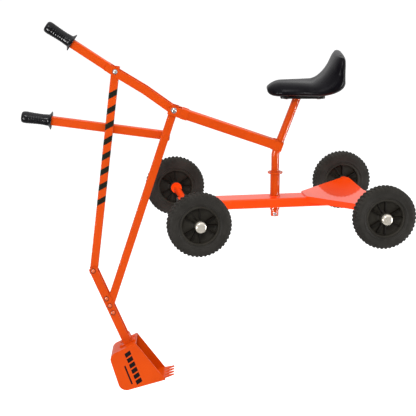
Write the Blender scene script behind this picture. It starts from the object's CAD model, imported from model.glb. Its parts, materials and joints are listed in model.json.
import json
import math

import bpy
import numpy as np
from mathutils import Matrix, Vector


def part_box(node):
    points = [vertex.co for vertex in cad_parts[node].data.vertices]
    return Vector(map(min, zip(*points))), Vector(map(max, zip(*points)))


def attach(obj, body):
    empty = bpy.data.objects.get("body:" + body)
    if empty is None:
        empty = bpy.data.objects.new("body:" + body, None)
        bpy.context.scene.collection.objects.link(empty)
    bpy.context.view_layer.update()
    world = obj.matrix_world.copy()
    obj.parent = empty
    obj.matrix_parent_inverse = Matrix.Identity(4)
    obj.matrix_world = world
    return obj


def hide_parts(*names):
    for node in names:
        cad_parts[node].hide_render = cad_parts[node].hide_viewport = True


# Ride-on sand digger. Sizes in the dictionaries are millimetres; putPiece turns them to metres.

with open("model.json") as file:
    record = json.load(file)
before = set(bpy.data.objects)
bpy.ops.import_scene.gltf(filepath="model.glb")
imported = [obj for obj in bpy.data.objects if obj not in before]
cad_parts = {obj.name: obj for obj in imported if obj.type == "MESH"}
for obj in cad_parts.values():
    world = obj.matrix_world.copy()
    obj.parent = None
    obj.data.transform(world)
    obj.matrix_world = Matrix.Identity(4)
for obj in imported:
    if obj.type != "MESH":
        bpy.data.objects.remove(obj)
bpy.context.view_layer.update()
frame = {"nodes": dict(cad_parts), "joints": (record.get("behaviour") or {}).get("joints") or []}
cad = frame["nodes"]
pivots = {j["name"]: np.array(j.get("pos_m", (0, 0, 0))) * 1000 for j in frame["joints"]}
print("frame loaded")

# The boom's own upright plane: rear, across and up, turned about the post as the digger stands.
# The swing is the turn about the post; the other turns are degrees counted up from the rear.
boomSizes = dict(
    swing=-9.2, dipperTurn=-108.2, beamTurn=-18.9, beamBelowPivot=2.0, beamHalfHeight=10.75,
    upperHandleTurn=146.4, upperGuardAt=117.0, lowerHandleTurn=172.5, lowerHandleDown=67.0,
    lowerGuardAt=263.0, lowerHandleSide=21.0, stopSpacing=18.6, strapOuter=12.0, earOuter=15.3,
    washer=1.2,
)
boomTurn = math.radians(boomSizes["swing"])
boomRear = np.array([math.cos(boomTurn), math.sin(boomTurn), 0.0])
boomAcross = np.array([-math.sin(boomTurn), math.cos(boomTurn), 0.0])
upward = np.array([0.0, 0.0, 1.0])


def inBoom(points):  # points drawn as (rear, across, up) in the boom's plane, turned into place
    points = np.asarray(points, float)
    return points[..., :1] * boomRear + points[..., 1:2] * boomAcross + points[..., 2:] * upward


def inBoomPlane(point):  # a placed point as (rear, up) in the boom's plane
    return np.array([point @ boomRear, point[2]])


pivotA = inBoomPlane(pivots["dipper_swing"])
pivotB = inBoomPlane(pivots["link_turn"])
pivotD = inBoomPlane(pivots["bucket_curl"])
low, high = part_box("pivot_bolt_c")
pivotC = inBoomPlane((np.array(low) + np.array(high)) * 500)


def heading(start, end):  # the unit direction between two points of the boom's plane
    way = np.asarray(end, float) - start
    return way / np.hypot(*way)


def turned(degrees):  # a unit direction in the boom's plane, counted up from the rear
    return np.array([math.cos(math.radians(degrees)), math.sin(math.radians(degrees))])


def boomAxes(way):  # along, sideways and across as three placed directions, for a bar in the boom
    along = inBoom([way[0], 0, way[1]])
    side = inBoom([-way[1], 0, way[0]])
    return np.stack([along, side, np.cross(along, side)])


# Surfaces


def smoothLine(points, count, closed=False):
    # Catmull-Rom: between two points the line leaves along half the step across each neighbour
    points = np.asarray(points, float)
    if closed:
        padded = np.vstack([points[-1], points, points[:2]])
        spans = len(points)
    else:
        padded = np.vstack([2 * points[0] - points[1], points, 2 * points[-1] - points[-2]])
        spans = len(points) - 1
    place = np.linspace(0, spans, count, endpoint=not closed)
    index = np.minimum(place.astype(int), spans - 1)
    t = (place - index)[:, None]
    a, b, c, d = (padded[index + k] for k in range(4))
    return 0.5 * (2 * b + (c - a) * t + (2 * a - 5 * b + 4 * c - d) * t**2
                  + (3 * b - a - 3 * c + d) * t**3)


def shell(grid, wrapRows=False, capStart=True, capEnd=True):
    # a grid of rings: quads between neighbours, columns wrapped, and a fan to each end's middle
    rows, columns = grid.shape[:2]
    points = grid.reshape(-1, 3)
    r = np.arange(rows if wrapRows else rows - 1)
    r, c = np.meshgrid(r, np.arange(columns), indexing="ij")
    r2, c2 = (r + 1) % rows, (c + 1) % columns
    quads = np.stack([r * columns + c, r2 * columns + c, r2 * columns + c2, r * columns + c2], -1)
    quads = quads.reshape(-1, 4)
    fans = []
    for row, wanted, flip in ((0, capStart, False), (rows - 1, capEnd, True)):
        if wanted and not wrapRows:
            ring = row * columns + np.arange(columns)
            middle = np.full(columns, len(points))
            fan = np.stack([ring, np.roll(ring, -1), middle], -1)
            fans.append(fan[:, ::-1] if flip else fan)
            points = np.vstack([points, grid[row].mean(0)])
    fans = np.vstack(fans) if fans else np.zeros((0, 3), int)
    corners = points[np.vstack([quads[:, :3], quads[:, [0, 2, 3]], fans])]
    volume = np.einsum("ij,ij->", corners[:, 0], np.cross(corners[:, 1], corners[:, 2]))
    if volume < 0:
        quads, fans = quads[:, ::-1], fans[:, ::-1]
    return points, quads, fans


def lathe(profile, count, centre, axis, bump=None):
    # each profile point (distance along the axis, radius) is carried round the axis;
    # bump adds to the radius or the distance as a function of turn and profile place
    axis = np.asarray(axis, float)
    side = np.cross(axis, upward if abs(axis[2]) < 0.9 else boomRear)
    side /= np.linalg.norm(side)
    other = np.cross(axis, side)
    turn = np.linspace(0, 2 * math.pi, count, endpoint=False)
    profile = np.asarray(profile, float)
    along = np.repeat(profile[:, :1], count, 1)
    radius = np.repeat(profile[:, 1:], count, 1)
    if bump is not None:
        along, radius = bump(along, radius, turn[None, :])
    round_ = np.cos(turn)[None, :, None] * side + np.sin(turn)[None, :, None] * other
    return np.asarray(centre, float) + along[..., None] * axis + radius[..., None] * round_


def sweep(path, radius, count, closed=False):
    # a ring of the given radius at each path point, square to the path, turned as little as can be
    path = np.asarray(path, float)
    if closed:
        ahead = np.roll(path, -1, 0) - np.roll(path, 1, 0)
    else:
        ahead = np.gradient(path, axis=0)
    ahead /= np.linalg.norm(ahead, axis=1)[:, None]
    spare = np.array([0.31, 0.27, 0.91])
    side = np.cross(ahead, spare)
    side /= np.linalg.norm(side, axis=1)[:, None]
    other = np.cross(ahead, side)
    turn = np.linspace(0, 2 * math.pi, count, endpoint=False)[:, None]
    radius = np.broadcast_to(radius, (len(path),))[:, None, None]
    ring = np.cos(turn)[None] * side[:, None] + np.sin(turn)[None] * other[:, None]
    return path[:, None] + radius * ring


def bar(start, axes, length, width, height, edge, count=5):
    # a straight bar with rounded corners: a rounded rectangle carried along, its ends drawn in
    corner = np.linspace(0, math.pi / 2, count)
    ring = []
    for k, (sx, sy) in enumerate(((1, 1), (-1, 1), (-1, -1), (1, -1))):
        turn = corner + k * math.pi / 2
        ring.append(np.stack([sx * (width / 2 - edge) + edge * np.cos(turn),
                              sy * (height / 2 - edge) + edge * np.sin(turn)], -1))
    ring = np.vstack(ring)
    inner = ring * (1 - edge / np.array([width, height]))
    rows = [(0, inner), (edge * 0.4, ring * 0.5 + inner * 0.5), (edge, ring)]
    rows += [(length - edge, ring), (length - edge * 0.4, ring * 0.5 + inner * 0.5), (length, inner)]
    grid = [start + a * axes[0] + r[:, :1] * axes[1] + r[:, 1:] * axes[2] for a, r in rows]
    return np.array(grid)


def putPiece(name, shells, materials, body, replaces=(), crease=40, faceMaterial=None):
    # shells in millimetres become one mesh in metres, smooth except where it turns sharply
    points, faces, finish, offset = [], [], [], 0
    for k, (verts, quads, fans) in enumerate(shells):
        points.append(verts)
        faces += (quads + offset).tolist() + (fans + offset).tolist()
        finish += [faceMaterial[k] if faceMaterial else 0] * (len(quads) + len(fans))
        offset += len(verts)
    mesh = bpy.data.meshes.new(name)
    mesh.from_pydata((np.vstack(points) * 0.001).tolist(), [], faces)
    mesh.polygons.foreach_set("use_smooth", [True] * len(faces))
    mesh.polygons.foreach_set("material_index", finish)
    mesh.update()
    mesh.set_sharp_from_angle(angle=math.radians(crease))
    piece = bpy.data.objects.new(name, mesh)
    bpy.context.scene.collection.objects.link(piece)
    for material in materials:
        mesh.materials.append(material)
    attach(piece, body)
    if replaces:
        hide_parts(*replaces)
    return piece


# Materials


def addNode(tree, kind, inputs=None, **settings):
    node = tree.nodes.new(kind)
    for key, value in settings.items():
        setattr(node, key, value)
    for key, value in (inputs or {}).items():
        if isinstance(value, bpy.types.NodeSocket):
            tree.links.new(value, node.inputs[key])
        else:
            node.inputs[key].default_value = value
    return node


def math2(tree, operation, a, b=0.0):
    return addNode(tree, "ShaderNodeMath", {0: a, 1: b}, operation=operation).outputs[0]


def mixColor(tree, factor, a, b):
    node = addNode(tree, "ShaderNodeMix", data_type="RGBA")
    for key, value in (("Factor", factor), ("A", a), ("B", b)):
        kinds = ("VALUE", "RGBA")
        socket = [s for s in node.inputs if s.name == key and s.type in kinds and s.enabled][0]
        if isinstance(value, bpy.types.NodeSocket):
            tree.links.new(value, socket)
        else:
            socket.default_value = value
    return [s for s in node.outputs if s.type == "RGBA"][0]


def noise(tree, vector, scale, detail=2.0, rough=0.5):
    inputs = {"Vector": vector, "Scale": scale, "Detail": detail, "Roughness": rough}
    return addNode(tree, "ShaderNodeTexNoise", inputs).outputs["Fac"]


def ramp(tree, value, low, high):
    node = addNode(tree, "ShaderNodeMapRange", {"Value": value, "From Min": low, "From Max": high})
    return node.outputs["Result"]


def newGroup(name, inputs, outputs):
    group = bpy.data.node_groups.new(name, "ShaderNodeTree")
    for label, kind, value in inputs:
        socket = group.interface.new_socket(label, in_out="INPUT", socket_type=kind)
        if value is not None:
            socket.default_value = value
    for label, kind in outputs:
        group.interface.new_socket(label, in_out="OUTPUT", socket_type=kind)
    return group, group.nodes.new("NodeGroupInput"), group.nodes.new("NodeGroupOutput")


vectorIn = ("Vector", "NodeSocketVector", None)
threeOut = [("Color", "NodeSocketColor"), ("Roughness", "NodeSocketFloat"),
            ("Height", "NodeSocketFloat")]


def makePaintFilm():
    # baked paint: slow drift of the colour, fine peel in the gloss, and a few dusty scuffs
    group, start, end = newGroup("paintFilm", [
        vectorIn,
        ("Paint", "NodeSocketColor", (1, 0.1, 0, 1)),
        ("Drift", "NodeSocketColor", (0.8, 0.1, 0, 1)),
        ("Dust", "NodeSocketColor", (0.8, 0.5, 0.3, 1)),
        ("Dust amount", "NodeSocketFloat", 0.3),
        ("Gloss", "NodeSocketFloat", 0.3),
    ], threeOut)
    v = start.outputs["Vector"]
    drift = ramp(group, noise(group, v, 7.0, 3.0), 0.35, 0.7)
    color = mixColor(group, drift, start.outputs["Paint"], start.outputs["Drift"])
    scuff = ramp(group, noise(group, v, 130.0, 6.0, 0.7), 0.62, 0.74)
    patch = ramp(group, noise(group, v, 14.0, 2.0), 0.45, 0.7)
    dust = math2(group, "MULTIPLY", math2(group, "MULTIPLY", scuff, patch), start.outputs["Dust amount"])
    color = mixColor(group, dust, color, start.outputs["Dust"])
    rough = math2(group, "ADD", start.outputs["Gloss"], math2(group, "MULTIPLY", dust, 0.5))
    group.links.new(color, end.inputs["Color"])
    group.links.new(rough, end.inputs["Roughness"])
    group.links.new(noise(group, v, 420.0, 2.0), end.inputs["Height"])
    return group


def makeMouldedGrain():
    # moulded plastic or rubber: fine leathery grain, paler where it has rubbed
    group, start, end = newGroup("mouldedGrain", [
        vectorIn,
        ("Base", "NodeSocketColor", (0.05, 0.05, 0.05, 1)),
        ("Rubbed", "NodeSocketColor", (0.1, 0.1, 0.1, 1)),
        ("Grain", "NodeSocketFloat", 900.0),
        ("Dull", "NodeSocketFloat", 0.5),
    ], threeOut)
    v = start.outputs["Vector"]
    cells = addNode(group, "ShaderNodeTexVoronoi", {"Vector": v, "Scale": start.outputs["Grain"]})
    rubbed = ramp(group, noise(group, v, 26.0, 5.0, 0.6), 0.42, 0.72)
    color = mixColor(group, rubbed, start.outputs["Base"], start.outputs["Rubbed"])
    rough = math2(group, "ADD", start.outputs["Dull"], math2(group, "MULTIPLY", rubbed, 0.1))
    group.links.new(color, end.inputs["Color"])
    group.links.new(rough, end.inputs["Roughness"])
    group.links.new(cells.outputs["Distance"], end.inputs["Height"])
    return group


def makePlatedMetal():
    # plated steel: cloudy patches in the colour and gloss, and fine turning marks
    group, start, end = newGroup("platedMetal", [
        vectorIn,
        ("Plate", "NodeSocketColor", (0.8, 0.8, 0.8, 1)),
        ("Cloud", "NodeSocketColor", (0.6, 0.6, 0.6, 1)),
        ("Gloss", "NodeSocketFloat", 0.25),
    ], threeOut)
    v = start.outputs["Vector"]
    cloud = ramp(group, noise(group, v, 90.0, 4.0, 0.6), 0.35, 0.7)
    color = mixColor(group, cloud, start.outputs["Plate"], start.outputs["Cloud"])
    rough = math2(group, "ADD", start.outputs["Gloss"], math2(group, "MULTIPLY", cloud, 0.12))
    group.links.new(color, end.inputs["Color"])
    group.links.new(rough, end.inputs["Roughness"])
    group.links.new(noise(group, v, 1500.0, 2.0), end.inputs["Height"])
    return group


paintFilm = makePaintFilm()
mouldedGrain = makeMouldedGrain()
platedMetal = makePlatedMetal()


def finishOf(name, group, values, bump, shader, overlay=None):
    # one material: a shared group on object coordinates feeds the shader; overlay paints over it
    material = bpy.data.materials.new(name)
    material.use_nodes = True
    tree = material.node_tree
    tree.nodes.clear()
    place = addNode(tree, "ShaderNodeTexCoord").outputs["Object"]
    made = addNode(tree, "ShaderNodeGroup", node_tree=group)
    tree.links.new(place, made.inputs["Vector"])
    for key, value in values.items():
        made.inputs[key].default_value = value
    color, rough = made.outputs["Color"], made.outputs["Roughness"]
    if overlay:
        color, rough = overlay(tree, place, color, rough)
    relief = addNode(tree, "ShaderNodeBump", {
        "Height": made.outputs["Height"], "Strength": bump["strength"], "Distance": bump["depth"]})
    surface = addNode(tree, "ShaderNodeBsdfPrincipled", {
        "Base Color": color, "Roughness": rough, "Normal": relief.outputs["Normal"], **shader})
    output = addNode(tree, "ShaderNodeOutputMaterial")
    tree.links.new(surface.outputs[0], output.inputs[0])
    return material


paintSizes = dict(
    peel=dict(strength=0.06, depth=0.0003),
    shader={"Coat Roughness": 0.035, "Coat IOR": 1.5, "Specular IOR Level": 0.08},
    boom=dict(Paint=(0.66, 0.066, 0.001, 1), Drift=(0.60, 0.058, 0.001, 1)),
    chassis=dict(Paint=(1.0, 0.068, 0.001, 1), Drift=(0.94, 0.050, 0.001, 1)),
    bucket=dict(Paint=(0.66, 0.067, 0.001, 1), Drift=(0.56, 0.049, 0.001, 1)),
)


def orangePaint(name, shade, overlay=None, coat=0.9):
    values = dict(shade, **{"Dust": (0.85, 0.3, 0.12, 1), "Dust amount": 0.35, "Gloss": 0.34})
    shader = dict(paintSizes["shader"], **{"Coat Weight": coat})
    return finishOf(name, paintFilm, values, paintSizes["peel"], shader, overlay)


def localPlace(tree, place, origin, axes):
    # object coordinates seen from a bar's or plate's own corner: along, sideways, across
    turn = Matrix([list(column) for column in zip(*axes)]).to_euler()
    inputs = {"Vector": place, "Location": tuple(np.asarray(origin) * 0.001), "Rotation": tuple(turn)}
    mapped = addNode(tree, "ShaderNodeMapping", inputs, vector_type="TEXTURE")
    parts = addNode(tree, "ShaderNodeSeparateXYZ", {0: mapped.outputs[0]}).outputs
    return [math2(tree, "MULTIPLY", part, 1000.0) for part in parts]


def within(tree, value, low, high):
    inside = math2(tree, "GREATER_THAN", value, low)
    return math2(tree, "MULTIPLY", inside, math2(tree, "LESS_THAN", value, high))


def slantedBars(tree, along, side, start, pitch, solid, slant, count):
    # 1 inside each bar: the slanted distance, cut into equal pitches, is inside its solid part
    slanted = math2(tree, "ADD", along, math2(tree, "MULTIPLY", side, slant))
    slanted = math2(tree, "SUBTRACT", slanted, start)
    inPitch = math2(tree, "WRAP", slanted, pitch)
    tree.nodes[-1].inputs[2].default_value = 0.0
    bars = math2(tree, "LESS_THAN", inPitch, solid)
    return math2(tree, "MULTIPLY", bars, within(tree, slanted, 0.0, pitch * count))


def overPaint(tree, mask, color, rough, ink):
    color = mixColor(tree, mask, color, ink)
    rough = math2(tree, "ADD", rough, math2(tree, "MULTIPLY", mask, 0.08))
    return color, rough


linkStripes = dict(start=44.2, pitch=35.6, solid=14.6, slant=0.73, count=8,
                   ink=(0.010, 0.013, 0.008, 1))


def stripeOverlay(tree, place, color, rough):
    # hazard stripes round the link, counted from pivot B
    axes = boomAxes(heading(pivotB, pivotC))
    origin = inBoom([pivotB[0], 0, pivotB[1]])
    along, side, _ = localPlace(tree, place, origin, axes)
    sizes = linkStripes
    mask = slantedBars(tree, along, side, sizes["start"], sizes["pitch"], sizes["solid"],
                       sizes["slant"], sizes["count"])
    return overPaint(tree, mask, color, rough, sizes["ink"])


bucketMark = dict(
    start=(-341.7, -284.0), end=(-312.3, -363.0), width=15.0, pitch=14.2, solid=10.6, slant=0.28,
    lineFrom=30.0, lineTo=78.0, lineLow=-19.5, lineHigh=-15.5, plate=38.6,
    ink=(0.010, 0.008, 0.008, 1),
)


def bucketOverlay(tree, place, color, rough):
    # a plain mark of slanted bars and a thin line on the near side plate
    sizes = bucketMark
    way = heading(sizes["start"], sizes["end"])
    length = np.hypot(*(np.array(sizes["end"]) - sizes["start"]))
    origin = inBoom([sizes["start"][0], 0, sizes["start"][1]])
    along, side, across = localPlace(tree, place, origin, boomAxes(way))
    bars = slantedBars(tree, along, side, 0.0, sizes["pitch"], sizes["solid"], sizes["slant"],
                       round(length / sizes["pitch"]))
    bars = math2(tree, "MULTIPLY", bars, within(tree, side, -sizes["width"] / 2, sizes["width"] / 2))
    line = within(tree, side, sizes["lineLow"], sizes["lineHigh"])
    line = math2(tree, "MULTIPLY", line, within(tree, along, sizes["lineFrom"], sizes["lineTo"]))
    mark = math2(tree, "MAXIMUM", bars, line)
    mark = math2(tree, "MULTIPLY", mark, math2(tree, "GREATER_THAN", across, sizes["plate"]))
    return overPaint(tree, mark, color, rough, sizes["ink"])


boltSheen = dict(rimFrom=0.04, rimTo=0.34, zincRimTo=0.51, lift=0.3, pale=(0.95, 0.30, 0.14, 1),
                 rim=(0.07, 0.006, 0.001, 1), zincRim=(0.05, 0.05, 0.055, 1))


def rimMask(tree, rimTo):
    facing = addNode(tree, "ShaderNodeLayerWeight", {"Blend": 0.5}).outputs["Facing"]
    return ramp(tree, facing, boltSheen["rimFrom"], rimTo)


def boltOverlay(tree, place, color, rough):
    # thick paint on a dome: pale where it faces the eye, dark round the rim
    color = mixColor(tree, boltSheen["lift"], color, boltSheen["pale"])
    return mixColor(tree, rimMask(tree, boltSheen["rimTo"]), color, boltSheen["rim"]), rough


def zincOverlay(tree, place, color, rough):
    return mixColor(tree, rimMask(tree, boltSheen["zincRimTo"]), color, boltSheen["zincRim"]), rough


boomPaint = orangePaint("boomPaint", paintSizes["boom"], coat=0.2)
postPaint = orangePaint("postPaint", paintSizes["boom"])
boltPaint = orangePaint("boltPaint", paintSizes["boom"], boltOverlay)
chassisPaint = orangePaint("chassisPaint", paintSizes["chassis"])
bucketPaint = orangePaint("bucketPaint", paintSizes["bucket"], coat=0.3)
markedPaint = orangePaint("bucketSidePaint", paintSizes["bucket"], bucketOverlay, coat=0.3)
stripedPaint = orangePaint("linkPaint", paintSizes["boom"], stripeOverlay, coat=0.2)


plasticKinds = {
    "tyreRubber": dict(base=(0.021, 0.019, 0.016, 1), rubbed=(0.034, 0.031, 0.027, 1), grain=1400.0,
                       dull=0.6, bump=0.12, shine=0.12),
    "hubPlastic": dict(base=(0.026, 0.023, 0.018, 1), rubbed=(0.036, 0.033, 0.026, 1), grain=1100.0,
                       dull=0.5, bump=0.06, shine=0.12),
    "ribPlastic": dict(base=(0.008, 0.006, 0.004, 1), rubbed=(0.014, 0.012, 0.009, 1), grain=1100.0,
                       dull=0.5, bump=0.06, shine=0.12),
    "seatPlastic": dict(base=(0.004, 0.0035, 0.005, 1), rubbed=(0.007, 0.0065, 0.008, 1), grain=1000.0,
                        dull=0.26, bump=0.10, shine=0.10),
    "gripPlastic": dict(base=(0.005, 0.005, 0.006, 1), rubbed=(0.009, 0.009, 0.011, 1), grain=900.0,
                        dull=0.2, bump=0.10, shine=0.3),
    "blackSteel": dict(base=(0.006, 0.006, 0.006, 1), rubbed=(0.012, 0.012, 0.011, 1), grain=600.0,
                       dull=0.4, bump=0.05, shine=0.5),
}


def plastic(name):
    s = plasticKinds[name]
    values = {"Base": s["base"], "Rubbed": s["rubbed"], "Grain": s["grain"], "Dull": s["dull"]}
    bump = dict(strength=s["bump"], depth=0.0004)
    return finishOf(name, mouldedGrain, values, bump, {"Specular IOR Level": s["shine"]})


tyreRubber = plastic("tyreRubber")
hubPlastic = plastic("hubPlastic")
ribPlastic = plastic("ribPlastic")
seatPlastic = plastic("seatPlastic")
gripPlastic = plastic("gripPlastic")
blackSteel = plastic("blackSteel")

metalKinds = {
    "zincPlate": dict(plate=(0.74, 0.76, 0.78, 1), cloud=(0.60, 0.62, 0.64, 1), gloss=0.24),
    "boltZinc": dict(plate=(0.80, 0.82, 0.84, 1), cloud=(0.66, 0.68, 0.70, 1), gloss=0.2),
    "capNickel": dict(plate=(0.86, 0.80, 0.70, 1), cloud=(0.74, 0.68, 0.58, 1), gloss=0.16),
}


def metal(name, overlay=None):
    s = metalKinds[name]
    values = {"Plate": s["plate"], "Cloud": s["cloud"], "Gloss": s["gloss"]}
    bump = dict(strength=0.05, depth=0.0002)
    return finishOf(name, platedMetal, values, bump, {"Metallic": 0.55}, overlay)


zincPlate = metal("zincPlate")
boltZinc = metal("boltZinc", zincOverlay)
capNickel = metal("capNickel")
print("materials made")

# The CAD pieces that are shown as they are, by their finish
nodeFinish = [
    (postPaint, ["swivel_post", "post_collar", "pivot_sleeve"]),
    (boomPaint, ["main_beam", "beam_ears", "dipper_arm", "lower_handle_bar", "lower_handle_pad",
                 "lever_straps", "upper_handle_bar", "bucket_straps"]),
    (chassisPaint, ["chassis_beam", "rear_deck", "front_axle_tube", "rear_axle_tube", "axle_flanges"]),
    (bucketPaint, ["bucket_shell", "tooth_plate", "bucket_bracket", "bucket_rivets"]),
    (markedPaint, ["bucket_sides"]),
    (stripedPaint, ["link_bar"]),
    (zincPlate, ["axle_washers", "front_axle_rod", "rear_axle_rod", "pivot_nut_a", "pivot_washers_a",
                 "pivot_nut_b", "pivot_nut_c", "pivot_nut_d", "stop_nuts", "retaining_bolt",
                 "retaining_nut", "seat_screws"]),
    (blackSteel, ["beam_end_caps", "seat_pan"]),
]
for material, names in nodeFinish:
    for name in names:
        slots = cad[name].data.materials
        slots.clear()
        slots.append(material)


# Wheels

tyreSizes = dict(
    bead=44.0, beadHalf=15.0, groove=68.1, tread=70.0, lugs=46, aroundPerLug=12,
    wall=[(44, 15), (46.2, 16.2), (47.6, 17.5), (48.6, 17.5), (49.4, 16.9), (53, 17.3), (57, 17.9),
          (60, 17.9), (60.7, 17.2), (61.4, 17.2), (62.2, 17.0), (65, 15.6), (67, 13.4), (68.0, 10.5)],
    acrossTread=26, wallSteps=30, boreSteps=4,
    skew=0.42, skewUpTo=0.7, stagger=0.25, lugRise=(0.04, 0.13), lugFall=(0.56, 0.66),
    middleShift=0.4, middleSkew=0.35, middleRise=(0.05, 0.15), middleFall=(0.60, 0.70), middleHalf=0.16,
    shoulder=(0.24, 0.30), fade=(62.0, 66.5), slope=(66.0, 68.1), wallLift=0.35, wallSpread=0.6,
)


def softStep(value, low, high):
    t = np.clip((value - low) / (high - low), 0, 1)
    return t * t * (3 - 2 * t)


def tyreGrid(centre, side):
    # the wall's profile is mirrored across the tread and carried round; lugs lift it by a soft
    # block wave of the turn, skewed towards the middle, that fades down the wall
    s = tyreSizes
    wall = smoothLine(s["wall"], s["wallSteps"])
    tread = np.stack([np.full(s["acrossTread"], s["groove"]),
                      np.linspace(wall[-1, 1], -wall[-1, 1], s["acrossTread"] + 2)[1:-1]], -1)
    inside = np.linspace(-s["beadHalf"], s["beadHalf"], s["boreSteps"] + 2)[1:-1]
    bore = np.stack([np.full(s["boreSteps"], s["bead"]), inside], -1)
    profile = np.vstack([wall, tread, wall[::-1] * (1, -1), bore])
    radius, across = profile[:, :1], profile[:, 1:]
    turn = np.arange(s["lugs"] * s["aroundPerLug"]) / s["aroundPerLug"]
    share = np.abs(across) / s["beadHalf"]
    phase = (turn[None, :] + s["skew"] * np.minimum(share, s["skewUpTo"]) * np.where(across > 0, 1, -1)
             + s["stagger"] * (across > 0)) % 1
    lug = softStep(phase, *s["lugRise"]) - softStep(phase, *s["lugFall"])
    middle = (turn[None, :] + s["middleShift"] + s["middleSkew"] * across / s["beadHalf"]) % 1
    centreLug = softStep(middle, *s["middleRise"]) - softStep(middle, *s["middleFall"])
    height = np.maximum(lug * softStep(share, *s["shoulder"]), centreLug * (share < s["middleHalf"]))
    lift = (s["tread"] - s["groove"]) * height * softStep(radius, *s["fade"])
    slope = softStep(radius, *s["slope"])
    r = radius + lift * (s["wallLift"] + (1 - s["wallLift"]) * slope)
    w = across + lift * (1 - slope) * np.sign(across) * s["wallSpread"]
    angle = turn[None, :] * 2 * math.pi / s["lugs"]
    x, z = r * np.cos(angle), r * np.sin(angle)
    return np.stack([x + centre[0], w * side + centre[1], z + centre[2]], -1)


hubSizes = dict(
    ribThick=2.8, ribHigh=23.6, ribEdge=0.9, ribFrom=11.5, ribTo=39.0,
    ribTurns=[0, 30, 120, 90, 150, 210, 240, 270, 330],
    face=[(19.7, 5.05), (19.7, 10.6), (18.9, 12.1), (18.0, 12.6), (5.0, 13.4), (3.4, 14.6), (2.6, 17.0),
          (2.6, 33.0), (3.2, 36.0), (5.0, 37.8), (12.6, 38.6), (14.2, 39.2), (15.0, 40.2), (15.0, 42.6),
          (14.4, 43.6), (13.0, 43.95)],
)


def hubShells(centre, side):
    # the face's profile is mirrored through the hub and carried round the axle; ribs are bars
    s = hubSizes
    half = np.array(s["face"])
    profile = np.vstack([half, half[::-1] * (-1, 1)])
    body = lathe(profile, 120, centre, (0, side, 0))
    shells, finish = [shell(body.transpose(1, 0, 2), wrapRows=True, capStart=False, capEnd=False)], [0]
    for turn in s["ribTurns"]:
        angle = math.radians(turn)
        out = np.array([math.cos(angle), 0, math.sin(angle)])
        flat = np.array([-math.sin(angle), 0, math.cos(angle)])
        axes = np.stack([out, flat, np.array([0, 1.0, 0])])
        start = np.asarray(centre) + out * s["ribFrom"]
        rib = bar(start, axes, s["ribTo"] - s["ribFrom"], s["ribThick"], s["ribHigh"], s["ribEdge"])
        shells.append(shell(rib))
        finish.append(1)
    return shells, finish


wheelPlaces = {}
for end in ("front", "rear"):
    for name in ("right", "left"):
        body = f"wheel_{end}_{name}"
        centre = pivots[f"{body}_spin"]
        side = 1 if centre[1] > 0 else -1
        wheelPlaces[body] = (centre, side)
        tyre = tyreGrid(centre, side)
        putPiece(f"tyre_{end}_{name}_treaded", [shell(tyre.transpose(1, 0, 2), wrapRows=True)],
                 [tyreRubber], body, [f"tyre_{end}_{name}"], 32)
        shells, finish = hubShells(centre, side)
        putPiece(f"hub_{end}_{name}_ribbed", shells, [hubPlastic, ribPlastic], body,
                 [f"hub_{end}_{name}"], 35, finish)

capSizes = dict(
    start=20.0, steps=36, around=64,
    profile=[(0.0, 5.3), (0.0, 10.6), (0.5, 11.8), (1.4, 12.0), (6.0, 12.0), (8.2, 11.3), (9.8, 9.6),
             (10.6, 7.2), (10.9, 4.0), (11.0, 0.6)],
)
shells = []
for centre, side in wheelPlaces.values():
    line = smoothLine(capSizes["profile"], capSizes["steps"])
    middle = centre + np.array([0, side * capSizes["start"], 0])
    shells.append(shell(lathe(line, capSizes["around"], middle, (0, side, 0)), capStart=False))
putPiece("axle_caps_domed", shells, [capNickel], "chassis", ["axle_caps"], 50)
print("wheels made")


# Seat

seatSizes = dict(
    halfWidth=[0, 22, 33, 42, 47, 56, 70, 75, 77, 77, 76, 75, 72, 68, 62, 0],
    # nose, sitting part, rise and back, as four curves whose shares of the stations these are
    shares=[4, 2, 4, 5],
    top=[(-21, 331), (-21, 338), (-4, 348), (9, 349), (30, 350), (52, 350), (74, 350), (92, 350),
         (110, 373), (118, 389), (126, 405), (128, 410), (138, 410)],
    under=[(-21, 331), (-21, 317), (-8, 314), (10, 315), (38, 316), (66, 317), (94, 318), (130, 321),
           (154, 332), (153, 349), (150, 392), (159, 410), (138, 410)],
    widest=0.33, crown=2.5, tuck=2.8, stations=120, around=96, noseRings=10, backRings=5,
    dish=3.2, dishAt=0.42, dishLong=0.22, dishWide=0.55, lip=1.1, lipHigh=0.16,
)


def curveChain(points, shares, count):
    # a chain of cubic curves: every third point is on the line and the two between pull on it
    points, shares = np.asarray(points, float), np.asarray(shares, float)
    ends = np.concatenate([[0], np.cumsum(shares)])
    place = np.linspace(0, ends[-1], count)
    index = np.clip(np.searchsorted(ends, place, side="right") - 1, 0, len(shares) - 1)
    t = ((place - ends[index]) / shares[index])[:, None]
    a, b, c, d = (points[3 * index + k] for k in range(4))
    return a * (1 - t) ** 3 + 3 * b * t * (1 - t) ** 2 + 3 * c * t ** 2 * (1 - t) + d * t ** 3


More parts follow.
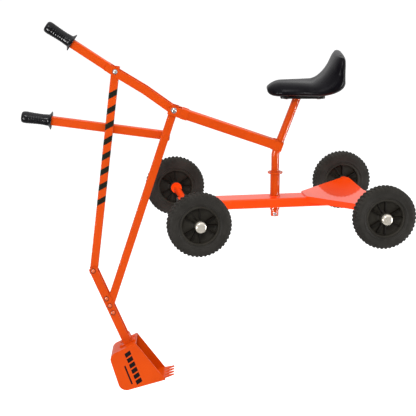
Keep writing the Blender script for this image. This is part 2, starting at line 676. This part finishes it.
def makeSeat():
    # each station is a rounded ring between the top line and the underside, widest a third of the
    # way up; the ring's two halves are superellipses, and the sitting part is dished a little
    s = seatSizes
    count, n = s["stations"], s["around"]
    top, under = (curveChain(s[name], s["shares"], count) for name in ("top", "under"))
    width = np.maximum(smoothLine(np.array(s["halfWidth"], float)[:, None], count)[:, 0], 0.4)
    ends = np.linspace(0, 1, count)
    nose, back = s["noseRings"], s["backRings"]
    width[:nose] = width[nose] * np.sqrt(1 - (np.arange(nose, 0, -1) / nose) ** 2) + 0.3
    width[-back:] = width[-back - 1] * np.sqrt(1 - (np.arange(1, back + 1) / back) ** 2) + 0.3
    middle = under + (top - under) * s["widest"]
    turn = np.linspace(0, 2 * math.pi, n, endpoint=False)[None, :]
    cosine, sine = np.cos(turn), np.sin(turn)
    side = np.sign(cosine) * np.abs(cosine) ** (2 / s["crown"])
    rise = np.where(sine >= 0, np.abs(sine) ** (2 / s["crown"]), 0)
    drop = np.where(sine < 0, np.abs(sine) ** (2 / s["tuck"]), 0)
    plane = (middle[:, None] + rise[..., None] * (top - middle)[:, None]
             + drop[..., None] * (under - middle)[:, None])
    sitting = np.exp(-((ends - s["dishAt"]) / s["dishLong"]) ** 2)[:, None]
    hollow = s["dish"] * sitting * rise * np.exp(-(side / s["dishWide"]) ** 2)
    lip = s["lip"] * np.exp(-(sine / s["lipHigh"]) ** 2) * softStep(ends, 0.02, 0.12)[:, None]
    across = side * (width[:, None] + lip)
    grid = np.stack([plane[..., 0], across, plane[..., 1] - hollow], -1)
    return inBoom(grid)


putPiece("seat_saddle", [shell(makeSeat())], [seatPlastic], "upper_frame", ["seat_shell"],
         60)
print("seat made")


# Grips

gripSizes = dict(
    profile=[(0.0, 9.6), (-1.6, 12.5), (-2.6, 17.5), (-3.0, 20.0), (-2.4, 20.7), (-1.2, 20.6),
             (0.8, 17.2), (3.0, 14.2), (5.5, 13.2), (8.0, 13.0), (20, 12.6), (36, 12.9), (48, 13.5),
             (58, 13.5), (63, 12.6), (65.8, 10.6), (67.2, 6.8), (67.5, 0.5)],
    ridges=7, ridgeFrom=12.0, ridgeTo=50.0, ridgeDeep=0.5, flutes=24, fluteDeep=0.18,
)


def gripShell(start, axes, side):
    # a turned grip with a bell guard; shallow rings run round it and fine flutes along it
    s = gripSizes
    line = smoothLine(s["profile"], 150)
    centre = inBoom([start[0], side, start[1]])

    def ridged(along, radius, turn):
        body = softStep(along, s["ridgeFrom"], s["ridgeFrom"] + 2)
        body = body * (1 - softStep(along, s["ridgeTo"], s["ridgeTo"] + 2))
        place = (along - s["ridgeFrom"]) / (s["ridgeTo"] - s["ridgeFrom"]) * s["ridges"]
        rings = 0.5 - 0.5 * np.cos(2 * math.pi * place)
        flutes = s["fluteDeep"] * (0.5 + 0.5 * np.cos(s["flutes"] * turn)) * body
        return along, radius - s["ridgeDeep"] * (1 - rings) * body - flutes

    return shell(lathe(line, 96, centre, axes[0], ridged), capStart=False)


upperWay, lowerWay = turned(boomSizes["upperHandleTurn"]), turned(boomSizes["lowerHandleTurn"])
lowerHandle = pivotA + turned(boomSizes["dipperTurn"]) * boomSizes["lowerHandleDown"]
handles = [
    ("upper_grip", "lever", pivotB + upperWay * boomSizes["upperGuardAt"], upperWay, 0.0),
    ("lower_grip", "dipper", lowerHandle + lowerWay * boomSizes["lowerGuardAt"], lowerWay,
     boomSizes["lowerHandleSide"]),
]
for name, body, guardAt, way, side in handles:
    putPiece(f"{name}_ridged", [gripShell(guardAt, boomAxes(way), side)], [gripPlastic], body, [name],
             60)
print("grips made")


# Bolts

boltSizes = dict(headRadius=5.8, headHigh=4.0, shank=2.85, pastFace=6.5, socket=2.3, socketDeep=2.2,
                 rimFlat=0.7)


def boltShells(centre, face, socket):
    # the head is a height over a disc: a dome that falls to a short rim, less a six-sided socket
    s = boltSizes
    shankEnd = face + s["pastFace"]
    radius = np.concatenate([np.linspace(0.15, 3.2, 26), np.linspace(3.4, s["headRadius"], 16)])
    turn = np.linspace(0, 2 * math.pi, 72, endpoint=False)
    r, t = np.meshgrid(radius, turn, indexing="ij")
    share = r / s["headRadius"]
    rise = s["rimFlat"] + (s["headHigh"] - s["rimFlat"]) * np.sqrt(np.maximum(1 - share**2.4, 0))
    if socket:
        flat = s["socket"] / np.cos((t % (math.pi / 3)) - math.pi / 6)
        rise = rise - s["socketDeep"] * (1 - softStep(r, flat - 0.15, flat + 0.15))
    across = -face - rise
    head = np.stack([centre[0] + r * np.cos(t), across, centre[1] + r * np.sin(t)], -1)
    edge = head[-1].copy()
    edge[:, 1] = -face
    head = np.concatenate([head, edge[None]])
    line = [(-face + 0.01, s["shank"]), (shankEnd - 0.8, s["shank"]), (shankEnd, s["shank"] - 0.8)]
    stud = lathe(line, 32, inBoom([centre[0], 0, centre[1]]), boomAcross)
    return [shell(inBoom(head)), shell(stud)]


strapOuter, washerOuter = boomSizes["strapOuter"], boomSizes["earOuter"] + boomSizes["washer"]
toStop = heading(pivotD, pivotC) * boomSizes["stopSpacing"]
stops = [pivotD + toStop, pivotD - toStop]
pivotBolts = [
    ("pivot_bolt_a", [pivotA], washerOuter, boltZinc, True, "upper_frame", "plated_steel"),
    ("pivot_bolt_b", [pivotB], strapOuter, boltZinc, True, "lever", "plated_steel"),
    ("pivot_bolt_c", [pivotC], strapOuter, boltPaint, False, "bucket", "bolt_orange"),
    ("pivot_bolt_d", [pivotD], strapOuter, boltPaint, False, "bucket", "bolt_orange"),
    ("stop_bolts", stops, strapOuter, boltPaint, False, "bucket", "bolt_orange"),
]
for name, centres, face, material, socket, body, slot in pivotBolts:
    shells = []
    for centre in centres:
        shells += boltShells(centre, face, socket)
    putPiece(f"{name}_domed", shells, [material], body, [name], 38)
print("bolts made")


# Weld beads

weldSizes = dict(
    radius=1.5, ripple=0.28, pitch=2.6, step=0.65,
    beamHalf=26.0, beamTop=81.0, beamLow=59.0, axleHeight=70.0, sleeveRing=11.15, tubeRing=8.2,
    collarHeight=138.6, collarRing=9.4, postRadius=9.0, postReach=8.8,
    earFrom=17.0, earTo=33.5, earEdge=10.4, earSide=12.7, padSide=10.3, padLong=17.6, padHigh=17.2,
)


def weldShell(path, closed=True):
    # a thin tube along the joint whose radius ripples once per bead
    s = weldSizes
    path = np.asarray(path, float)
    loop = np.vstack([path, path[:1]]) if closed else path
    steps = np.linalg.norm(np.diff(loop, axis=0), axis=1)
    place = np.concatenate([[0], np.cumsum(steps)])
    total = place[-1]
    count = max(int(total / s["step"]), 12)
    at = np.linspace(0, total, count, endpoint=not closed)
    line = np.stack([np.interp(at, place, loop[:, k]) for k in range(3)], -1)
    beads = max(round(total / s["pitch"]), 1)
    radius = s["radius"] + s["ripple"] * np.cos(2 * math.pi * at / total * beads)
    if not closed:
        radius = radius * np.sqrt(np.clip(np.minimum(at, total - at) / s["pitch"], 0.05, 1))
    grid = sweep(line, radius, 10, closed)
    return shell(grid, wrapRows=closed, capStart=not closed, capEnd=not closed)


def ringPath(centre, axis, radius, count=72):
    return lathe([(0, radius)], count, centre, axis)[0]


def chassisWelds():
    # rings round the sleeve above and below the beam, and round the axle tubes at the beam's sides
    s = weldSizes
    rings = [ringPath((0, 0, z), (0, 0, 1), s["sleeveRing"]) for z in (s["beamTop"], s["beamLow"])]
    for wheel in ("wheel_front_left", "wheel_rear_left"):
        x = wheelPlaces[wheel][0][0]
        for y in (-s["beamHalf"], s["beamHalf"]):
            rings.append(ringPath((x, y, s["axleHeight"]), (0, 1, 0), s["tubeRing"]))
    return [weldShell(ring) for ring in rings]


def upperFrameWelds():
    # a ring on the collar, and both sides' seams where the beam meets the post and the ears
    s = weldSizes
    shells = [weldShell(ringPath((0, 0, s["collarHeight"]), (0, 0, 1), s["collarRing"]))]
    way = turned(boomSizes["beamTurn"])
    rise = turned(boomSizes["beamTurn"] + 90)
    beamMid = pivotA - boomSizes["beamBelowPivot"] * rise
    atPost = beamMid - way * beamMid[0] / way[0]
    for side in (-1, 1):
        for edge in (-1, 1):
            middle = atPost + edge * boomSizes["beamHalfHeight"] * rise
            path = []
            for reach in np.linspace(-s["postReach"], s["postReach"], 15):
                point = middle + reach * way
                path.append([point[0], side * math.sqrt(s["postRadius"] ** 2 - reach**2), point[1]])
            shells.append(weldShell(inBoom(path), closed=False))
    for side in (-1, 1):
        for edge in (-1, 1):
            ends = [beamMid + way * at + edge * s["earEdge"] * rise for at in (s["earFrom"], s["earTo"])]
            path = inBoom([[x, side * s["earSide"], z] for x, z in ends])
            shells.append(weldShell(path, closed=False))
    return shells


def padWelds():
    # a seam round the packing plate between the dipper and the lower handle
    s = weldSizes
    axes = boomAxes(lowerWay)
    centre = inBoom([lowerHandle[0], s["padSide"], lowerHandle[1]])
    corners = [(-1, -1), (1, -1), (1, 1), (-1, 1)]
    along, up = s["padLong"] / 2 * axes[0], s["padHigh"] / 2 * axes[1]
    return [weldShell([centre + a * along + b * up for a, b in corners])]


putPiece("chassis_welds", chassisWelds(), [chassisPaint], "chassis", (), 80)
putPiece("upper_frame_welds", upperFrameWelds(), [boomPaint], "upper_frame", (), 80)
putPiece("handle_pad_welds", padWelds(), [boomPaint], "dipper", (), 80)
print("welds made")


# Floor, lights and camera. Two lights only shape the soft light, three only show in the gloss.

# Stage sizes are metres.
stageSizes = dict(floorZ=-0.8, floorHalf=14.0, floorColor=(0.93, 0.93, 0.93, 1), floorRough=0.9,
                  floorGlow=0.30, dim=0.04, skyHigh=0.95, behind=0.6)

floorMesh = bpy.data.meshes.new("floor")
h, z = stageSizes["floorHalf"], stageSizes["floorZ"]
floorMesh.from_pydata([(-h, -h, z), (h, -h, z), (h, h, z), (-h, h, z)], [], [(0, 1, 2, 3)])
floor = bpy.data.objects.new("floor", floorMesh)
bpy.context.scene.collection.objects.link(floor)
floorMaterial = bpy.data.materials.new("paleFloor")
floorMaterial.use_nodes = True
floorShader = floorMaterial.node_tree.nodes["Principled BSDF"]
floorShader.inputs["Base Color"].default_value = stageSizes["floorColor"]
floorShader.inputs["Roughness"].default_value = stageSizes["floorRough"]
floorShader.inputs["Emission Color"].default_value = (1, 1, 1, 1)
floorShader.inputs["Emission Strength"].default_value = stageSizes["floorGlow"]
floorMesh.materials.append(floorMaterial)
floor.visible_glossy = False


def makeStudio():
    # the camera sees plain white; the object sees a bright ceiling, a paler far wall and a dim
    # room behind the camera: dim + skyHigh * rise of the ceiling + behind * far wall
    s = stageSizes
    studio = bpy.data.worlds.new("softStudio")
    studio.use_nodes = True
    tree = studio.node_tree
    tree.nodes.clear()
    seenFrom = addNode(tree, "ShaderNodeTexCoord").outputs["Generated"]
    way = addNode(tree, "ShaderNodeSeparateXYZ", {0: seenFrom})
    ceiling = math2(tree, "MULTIPLY", ramp(tree, way.outputs["Z"], 0.15, 0.75), s["skyHigh"])
    farWall = math2(tree, "MULTIPLY", ramp(tree, way.outputs["Y"], -0.1, 0.6), s["behind"])
    glow = math2(tree, "ADD", math2(tree, "MAXIMUM", ceiling, farWall), s["dim"])
    seen = addNode(tree, "ShaderNodeLightPath").outputs["Is Camera Ray"]
    unseen = math2(tree, "SUBTRACT", 1.0, seen)
    strength = math2(tree, "MAXIMUM", math2(tree, "MULTIPLY", glow, unseen), seen)
    light = addNode(tree, "ShaderNodeBackground", {"Color": (1, 1, 1, 1), "Strength": strength})
    tree.links.new(light.outputs[0], addNode(tree, "ShaderNodeOutputWorld").inputs[0])
    return studio


bpy.context.scene.world = makeStudio()

lightPlaces = {
    "front": dict(at=(-1.0, -3.6, 2.3), aim=(-0.1, 0, 0.05), size=(1.0, 0.9), power=84, mirrored=False),
    "overhead": dict(at=(0.2, 0.2, 3.4), aim=(0, 0, 0), size=(2.4, 2.4), power=76, mirrored=False),
    "rightBox": dict(at=(1.35, -0.6, -0.12), aim=(0, 0, 0.1), size=(0.2, 1.2), power=22, mirrored=True),
    "leftStrip": dict(at=(-1.6, -1.2, -0.15), aim=(0, 0, 0.1), size=(0.14, 0.9), power=26, mirrored=True),
    "frontBox": dict(at=(-1.3, -2.6, 2.3), aim=(-0.2, 0, 0.0), size=(0.7, 0.7), power=26, mirrored=True),
}
for name, s in lightPlaces.items():
    lamp = bpy.data.lights.new(name, "AREA")
    lamp.shape, lamp.energy = "RECTANGLE", s["power"]
    lamp.size, lamp.size_y = s["size"]
    holder = bpy.data.objects.new(name, lamp)
    holder.location = s["at"]
    holder.visible_glossy = s["mirrored"]
    holder.visible_diffuse = not s["mirrored"]
    back = np.array(s["at"], float) - s["aim"]
    back /= np.linalg.norm(back)
    across = np.cross(upward if abs(back[2]) < 0.95 else np.array([0, 1.0, 0]), back)
    across /= np.linalg.norm(across)
    rows = zip(across, np.cross(back, across), back)
    holder.rotation_euler = Matrix([list(row) for row in rows]).to_euler()
    bpy.context.scene.collection.objects.link(holder)

camera = bpy.data.objects.new("camera", bpy.data.cameras.new("camera"))
camera.data.sensor_width = 36.0
camera.data.lens = 121.6
camera.data.clip_end = 100.0
camera.location = (-0.6523, -3.0691, 0.8338)
camera.rotation_euler = (math.radians(76), 0, math.radians(-9.2))
bpy.context.scene.collection.objects.link(camera)
bpy.context.scene.camera = camera
bpy.context.scene.view_settings.view_transform = "Standard"
print("stage made")
